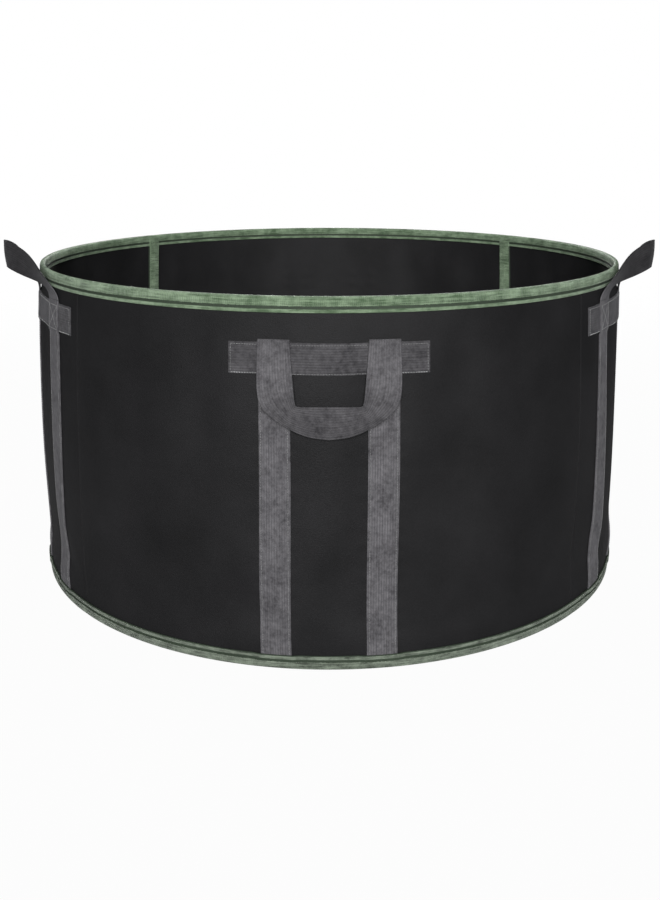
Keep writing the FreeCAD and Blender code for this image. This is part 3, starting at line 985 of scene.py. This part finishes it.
def creases(along, drop):
    """Soft diagonal creases where the webbing turns from the legs into the crosspiece."""
    x = np.abs(along) - HALF_WINDOW
    total = 0
    for offset, slope, width, height in CREASES:
        distance = drop - (offset + slope * x)
        total = total + height * np.exp(-(distance / width) ** 2)
    corner = smooth((x + 12 * MM) / (14 * MM)) * smooth((100 * MM - drop) / (30 * MM))
    return total * corner * (1 + 0.25 * np.sign(along))


def hanging_loop(handle):
    """A loop that folds over at the top of its straps and hangs, its crosspiece off the wall."""
    side = across_webbing()
    share = (side / WEBBING_WIDTH + 0.5)[None]
    outer, inner = loop_edge(OUTER_EDGE), loop_edge(INNER_EDGE)
    flat = outer[:, None] * (1 - share[..., None]) + inner[:, None] * share[..., None]
    along, drop = flat[..., 0], flat[..., 1]
    root = wall_below_hinge(handle, along, WEBBING * 2 + 2 * FOLD_TURN - WEBBING / 2 + 0.1 * MM)
    hang = STAND_OFF * np.sin(0.62 * math.pi * drop / LOOP_DROP)
    leave = smooth(drop / LEG_CLING)
    cup = HANGING_CUP * (1 - (2 * share - 1) ** 2) * smooth((drop - 10 * MM) / (60 * MM))
    out = root * (1 - leave) + hang * leave + cup + creases(along, drop)
    body = from_hinge(handle, along, out, -drop)
    turn = np.linspace(0, math.pi, 9)[:-1, None]
    back, rise = FOLD_TURN * (-1 - np.cos(turn)), FOLD_TURN * np.sin(turn)
    left = from_hinge(handle, along[0], out[0] + back, rise - drop[0])
    right = from_hinge(handle, along[-1], out[-1] + back, rise - drop[-1])
    finish_loop(handle, np.concatenate([left, body, right[::-1]]), HANGING_PAINTED_SHADE)


def bezier(poles, t):
    a, b, c, d = poles
    return a * (1 - t) ** 3 + 3 * b * t * (1 - t) ** 2 + 3 * c * t ** 2 * (1 - t) + d * t ** 3


# raised loop: poles of its half, crosspiece's lean and twist, reach of the wall's shape, cupping
LOOP_OUT = (0, 0.6 * MM, 52.5 * MM, 52.5 * MM)
LOOP_ALONG = (STRAP_ALONG, STRAP_ALONG, 0.36 * STRAP_ALONG, 0)
LOOP_UP = (0, 42 * MM, 64 * MM, 64 * MM)
LOOP_LEAN = 0.07
LOOP_TWIST = 1.24
ROOT_REACH = 45 * MM
RAISED_CUP = 1.4 * MM


def raised_loop(handle):
    """A loop that runs straight on up from its straps, and twists to a crosspiece on edge."""
    side = across_webbing()
    t = np.linspace(0, 1, 52)
    half = np.stack([bezier(LOOP_ALONG, t), bezier(LOOP_OUT, t), bezier(LOOP_UP, t)], axis=-1)
    turn = smooth(LOOP_TWIST * t)[:, None]
    lay = np.concatenate([1 - turn, LOOP_LEAN * turn, turn], axis=1)
    tangent = unit(np.gradient(half, axis=0))
    lay = unit(lay - tangent * np.sum(lay * tangent, axis=1, keepdims=True))
    right = half[:, None] + lay[:, None] * side[None, :, None]
    mirror = np.array([-1, 1, 1])
    left = half[:, None] * mirror + (lay * mirror)[:, None] * side[None, :, None]
    grid = np.concatenate([left, right[::-1][1:]])
    along, out, up = grid[..., 0], grid[..., 1], grid[..., 2]
    root = wall_below_hinge(handle, along, WEBBING * 1.5 + 0.1 * MM)
    out = out + root * smooth((ROOT_REACH - up) / ROOT_REACH)
    cup = RAISED_CUP * np.cos(side / WEBBING_WIDTH * math.pi)[None] * smooth(up / (40 * MM))
    finish_loop(handle, from_hinge(handle, along, out + cup, up), RAISED_PAINTED_SHADE)


# painted shade on a loop, darker away from its folds: from where, to where, and to what level
HANGING_PAINTED_SHADE = (50 * MM, 115 * MM, 0.66)
RAISED_PAINTED_SHADE = (-5 * MM, 45 * MM, 0.25)


def finish_loop(handle, middle, painted_shade):
    """Makes a loop's piece, left free of any body, in its own webbing material."""
    node = f"{handle['name']}_loop"
    length = float(np.linalg.norm(np.diff(middle, axis=0), axis=-1).sum(axis=0).mean())
    # the loop's webbing carries the painted shade that darkens it away from its folds
    look = webbing_material(f"{node}_webbing", *WEBBING_TONES, (length, *painted_shade)), "webbing"
    thickness = webbing_thickness(np.arange(len(middle)), across_webbing(), False, False)
    obj = piece(f"{node}_webbing", [sheet(middle, thickness)], look, node, body=None)
    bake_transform(obj)


# ------ grey sewing on the handles

STITCH_PITCH = 3.6 * MM
STITCH_INSET = 3.2 * MM
STITCH_GAP = WEBBING_WIDTH / 2 + 1.5 * MM
LIGHT_WEIGHT = 1.6
DIP = np.array([-0.25, 0.16, 0.26, 0.26, 0.16, -0.25]) * MM


def stitch_run(handle, start, end, on_strap, weight=1.0):
    """Stitches from start to end, as (along, height) points on a handle's strap or band."""
    start, end = np.array(start), np.array(end)
    count = max(1, round(float(np.linalg.norm(end - start)) / STITCH_PITCH))
    share = (np.arange(count)[:, None] + np.linspace(0.08, 0.92, len(DIP))[None]) / count
    spot = start + (end - start) * share[..., None]
    along, height = spot[..., 0], spot[..., 1]
    bearing = handle_bearing(handle, along)
    out = WEBBING + 0.25 * MM
    if on_strap:
        out = strap_out(handle, height) + WEBBING / 2 + 0.2 * MM
    paths = on_wall(bearing, height, out + DIP[None])
    half = np.array([0.2, 0.38, 0.42, 0.42, 0.38, 0.2]) * MM
    return threads(paths, radial(bearing), half * weight, half * 0.7)


def strap_rows(top, low_z, high_z):
    """Two rows up each strap, and a box with a cross where it passes the band."""
    inset = WEBBING_WIDTH / 2 - STITCH_INSET
    rows = []
    for centre in (-STRAP_ALONG, STRAP_ALONG):
        left, right = centre - inset, centre + inset
        for side in (left, right):
            rows.append(((side, BASE_BINDING_HIGH + 1 * MM), (side, top - 1 * MM)))
        for height in (low_z, high_z):
            rows.append(((left, height), (right, height)))
        rows.append(((left, low_z), (right, high_z)))
        rows.append(((left, high_z), (right, low_z)))
    return rows


def band_rows(low_z, high_z):
    """The rows round the band, and apart from them the lower rows on its two ends."""
    end = BAND_HALF - STITCH_INSET
    near, far = STRAP_ALONG - STITCH_GAP, STRAP_ALONG + STITCH_GAP
    edge_z = low_z - STITCH_INSET / 2
    rows, end_rows = [], []
    for first, last in ((-end, -far), (-near, near), (far, end)):
        rows.append(((first, high_z), (last, high_z)))
        lower = rows if first == -near else end_rows
        lower.append(((first, edge_z), (last, edge_z)))
    for along in (-end, end):
        rows.append(((along, low_z), (along, high_z)))
    return rows, end_rows


def stitching(handle):
    """A handle's grey sewing. The lower rows on the band's two ends are a lighter, heavier yarn."""
    top = band_top(handle)
    low_z, high_z = top - WEBBING_WIDTH + STITCH_INSET, top - STITCH_INSET
    rows, end_rows = band_rows(low_z, high_z)
    grey = [stitch_run(handle, *row, True) for row in strap_rows(top, low_z, high_z)]
    grey += [stitch_run(handle, *row, False) for row in rows]
    light = [stitch_run(handle, *row, False, LIGHT_WEIGHT) for row in end_rows]
    node = f"{handle['name']}_stitching"
    piece(f"{node}_yarn", grey, GREY_LOOK, node)
    piece(f"{node}_light_yarn", light, LIGHT_LOOK, node)


# ------ studio

FLOOR_RADIUS = 6
FLOOR_FADE = (1.0, 3.5)
FLOOR_TONE = 0.3
FLOOR_GLOW = 0.97
WORLD_LIGHT = 0.02

# name, place, width and power of each light; all face the middle of the bag
LIGHTS = (("front_light", (0, -6.5, 2.4), 2.0, 480),
          ("back_light", (0, 5.2, 1.8), 2.0, 220),
          ("top_light", (0, 0, 4.0), 1.5, 22))
LIT_POINT = (0, 0, 0.3)

CAMERA_PLACE = (0, -3.6925 * WALL_RADIUS, 1.4795 * WALL_RADIUS)
CAMERA_TILT = 0.16
CAMERA_LENS = 41.47
CAMERA_SHIFT = (0.0008, -0.1671)


def floor_material():
    """Nearly white to the camera, grey to the light, and clear towards the floor's edge."""
    s = Shader("studio_floor")
    to_camera = s.node("ShaderNodeLightPath").outputs["Is Camera Ray"]
    grey = s.node("ShaderNodeBsdfDiffuse", Color=(FLOOR_TONE, FLOOR_TONE, FLOOR_TONE, 1)).outputs[0]
    glow = s.node("ShaderNodeEmission", Strength=1.0).outputs[0]
    clear = s.node("ShaderNodeBsdfTransparent").outputs[0]
    reach = s.node("ShaderNodeVectorMath", s.place, settings={"operation": "LENGTH"})
    pale = s.either(s.times(to_camera, FLOOR_GLOW), grey, glow)
    surface = s.either(s.slope(reach.outputs["Value"], *FLOOR_FADE, 0, 1), pale, clear)
    s.put(s.tree.nodes["Material Output"].inputs["Surface"], surface)
    return s.material


def make_floor():
    """A pale round floor, just below the bag, that fades into the white backdrop."""
    bpy.ops.mesh.primitive_circle_add(vertices=96, radius=FLOOR_RADIUS, fill_type="NGON",
                                      location=(0, 0, -0.5 * MM))
    floor = bpy.context.object
    floor.name = "studio_floor"
    floor.data.materials.append(floor_material())


def make_world():
    """White to the camera, and a dimmer even light to everything else."""
    world = bpy.data.worlds.new("studio")
    bpy.context.scene.world = world
    world.use_nodes = True
    tree = world.node_tree
    back = tree.nodes["Background"]
    back.inputs["Color"].default_value = (1, 1, 1, 1)
    path, level = tree.nodes.new("ShaderNodeLightPath"), tree.nodes.new("ShaderNodeMapRange")
    level.inputs["To Min"].default_value = WORLD_LIGHT
    level.inputs["To Max"].default_value = 1.0
    tree.links.new(path.outputs["Is Camera Ray"], level.inputs["Value"])
    tree.links.new(level.outputs[0], back.inputs["Strength"])


def soft_light(name, place, size, power):
    data = bpy.data.lights.new(name, "AREA")
    data.shape = "DISK"
    data.size = size
    data.energy = power
    lamp = bpy.data.objects.new(name, data)
    lamp.location = place
    lamp.rotation_euler = (Vector(LIT_POINT) - Vector(place)).to_track_quat("-Z", "Y").to_euler()
    bpy.context.scene.collection.objects.link(lamp)


def make_camera():
    """In front of the bag and above its rim, tilted a little down, with its frame shifted lower."""
    data = bpy.data.cameras.new("camera")
    data.sensor_width = 36
    data.lens = CAMERA_LENS
    data.shift_x, data.shift_y = CAMERA_SHIFT
    camera = bpy.data.objects.new("camera", data)
    camera.location = CAMERA_PLACE
    camera.rotation_euler = (math.pi / 2 - CAMERA_TILT, 0, 0)
    bpy.context.scene.collection.objects.link(camera)
    bpy.context.scene.camera = camera


def build_bag():
    for name, (first, last) in PANELS.items():
        wall_panel(name, first, last)
    base_disc()
    rim_binding()
    rim_thread()
    base_edge()
    for name, bearing in SEAM_BEARINGS.items():
        wall_seam(name, bearing)


def build_handle(handle):
    band(handle)
    strap(handle, "left", -STRAP_ALONG)
    strap(handle, "right", STRAP_ALONG)
    stitching(handle)
    if handle["raised"]:
        raised_loop(handle)
    else:
        hanging_loop(handle)


def build_studio():
    make_floor()
    make_world()
    for light in LIGHTS:
        soft_light(*light)
    make_camera()
    bpy.context.scene.view_settings.view_transform = "Standard"


build_bag()
for one in HANDLES:
    build_handle(one)
build_studio()
